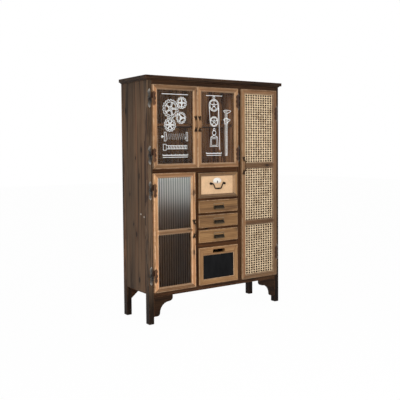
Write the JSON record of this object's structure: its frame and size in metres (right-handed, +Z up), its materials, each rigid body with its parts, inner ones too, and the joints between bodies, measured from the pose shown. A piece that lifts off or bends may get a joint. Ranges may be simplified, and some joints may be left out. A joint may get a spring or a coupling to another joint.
{
  "type": "glass display cabinet",
  "caption": "Free-standing wooden display cabinet on bracketed legs, with glazed and reeded-glass doors, a tall caned door, drawers, bow pulls, cup pulls and iron surface hinges.",
  "frame": {"origin": "middle of the bounding box at floor level", "axes": "+Z up, +Y towards the back, the doors and drawers face -Y, +X to the right of someone facing the doors"},
  "size_m": [1.136, 0.3938, 1.6],
  "materials": {
    "dark_walnut": "satin, streaky dark stain",
    "honey_fir": "waxed, rubbed edges",
    "deep_fir": "waxed, rubbed edges",
    "clear_glass": "clear, white line print",
    "reeded_glass": "reeded",
    "woven_cane": "matt",
    "raffia": "matt weave",
    "chalkboard": "matt black",
    "dark_iron": "blackened",
    "bronze": "antique",
    "nickel": "worn white"
  },
  "bodies": {
    "carcass": {"top_board": "dark_walnut", "post_front_left": "dark_walnut", "post_front_right": "dark_walnut", "post_back_left": "dark_walnut", "post_back_right": "dark_walnut", "side_panel_left": "dark_walnut", "side_panel_right": "dark_walnut", "back_panel": "dark_walnut", "bottom_board": "dark_walnut", "middle_board": "dark_walnut", "upper_shelf": "dark_walnut", "drawer_frame": "dark_walnut", "right_stile": "dark_walnut", "bottom_rail": "dark_walnut", "top_rail": "dark_walnut", "partition_left": "dark_walnut", "partition_right": "dark_walnut", "bracket_front_left": "dark_walnut", "bracket_front_right": "dark_walnut", "back_apron": "dark_walnut", "hinge_top_post_leaf_upper_left": "dark_iron", "hinge_low_post_leaf_upper_left": "dark_iron", "hinge_top_post_leaf_upper_right": "dark_iron", "hinge_low_post_leaf_upper_right": "dark_iron", "hinge_top_post_leaf_reeded": "dark_iron", "hinge_low_post_leaf_reeded": "dark_iron", "hinge_top_post_leaf_tall": "dark_iron", "hinge_low_post_leaf_tall": "dark_iron"},
    "door_upper_left": {"door_frame_upper_left": "honey_fir", "pane_upper_left": "clear_glass", "pull_upper_left": "bronze", "hinge_top_door_leaf_upper_left": "bronze", "hinge_low_door_leaf_upper_left": "bronze"},
    "door_upper_right": {"door_frame_upper_right": "honey_fir", "pane_upper_right": "clear_glass", "pull_upper_right": "bronze", "hinge_top_door_leaf_upper_right": "bronze", "hinge_low_door_leaf_upper_right": "bronze"},
    "door_reeded": {"door_frame_reeded": "honey_fir", "pane_reeded": "reeded_glass", "pull_reeded": "bronze", "hinge_top_door_leaf_reeded": "bronze", "hinge_low_door_leaf_reeded": "bronze"},
    "door_tall": {"door_frame_tall": "honey_fir", "cane_panel": "woven_cane", "pull_tall": "bronze", "hinge_top_door_leaf_tall": "bronze", "hinge_low_door_leaf_tall": "bronze"},
    "drawer_1_body": {"drawer_1": "honey_fir", "woven_panel": "raffia", "bail_plate": "nickel"},
    "bail_body": {"bail": "bronze"},
    "drawer_2_body": {"drawer_2": "deep_fir", "cup_pull_2": "dark_iron"},
    "drawer_3_body": {"drawer_3": "deep_fir", "cup_pull_3": "dark_iron"},
    "drawer_4_body": {"drawer_4": "deep_fir", "cup_pull_4": "dark_iron"},
    "drawer_5_body": {"drawer_5": "honey_fir", "slate_panel": "chalkboard"}
  },
  "joints": [
    {"name": "upper_left_swing", "type": "hinge", "parent": "carcass", "child": "door_upper_left", "pos_m": [-0.5212, -0.1543, 1.27335], "axis": [0, 0, -1], "range_deg": [0, 100]},
    {"name": "upper_right_swing", "type": "hinge", "parent": "carcass", "child": "door_upper_right", "pos_m": [0.1707, -0.1543, 1.27335], "axis": [0, 0, 1], "range_deg": [0, 90]},
    {"name": "reeded_swing", "type": "hinge", "parent": "carcass", "child": "door_reeded", "pos_m": [-0.5212, -0.1543, 0.59075], "axis": [0, 0, -1], "range_deg": [0, 100]},
    {"name": "tall_swing", "type": "hinge", "parent": "carcass", "child": "door_tall", "pos_m": [0.5212, -0.1543, 0.8741], "axis": [0, 0, 1], "range_deg": [0, 100]},
    {"name": "drawer_1_slide", "type": "slide", "parent": "carcass", "child": "drawer_1_body", "axis": [0, -1, 0], "range_m": [0, 0.24]},
    {"name": "drawer_2_slide", "type": "slide", "parent": "carcass", "child": "drawer_2_body", "axis": [0, -1, 0], "range_m": [0, 0.24]},
    {"name": "drawer_3_slide", "type": "slide", "parent": "carcass", "child": "drawer_3_body", "axis": [0, -1, 0], "range_m": [0, 0.24]},
    {"name": "drawer_4_slide", "type": "slide", "parent": "carcass", "child": "drawer_4_body", "axis": [0, -1, 0], "range_m": [0, 0.24]},
    {"name": "drawer_5_slide", "type": "slide", "parent": "carcass", "child": "drawer_5_body", "axis": [0, -1, 0], "range_m": [0, 0.24]},
    {"name": "bail_swing", "type": "hinge", "parent": "drawer_1_body", "child": "bail_body", "pos_m": [-0.0015, -0.1574, 0.893], "axis": [-1, 0, 0], "range_deg": [0, 85]}
  ]
}
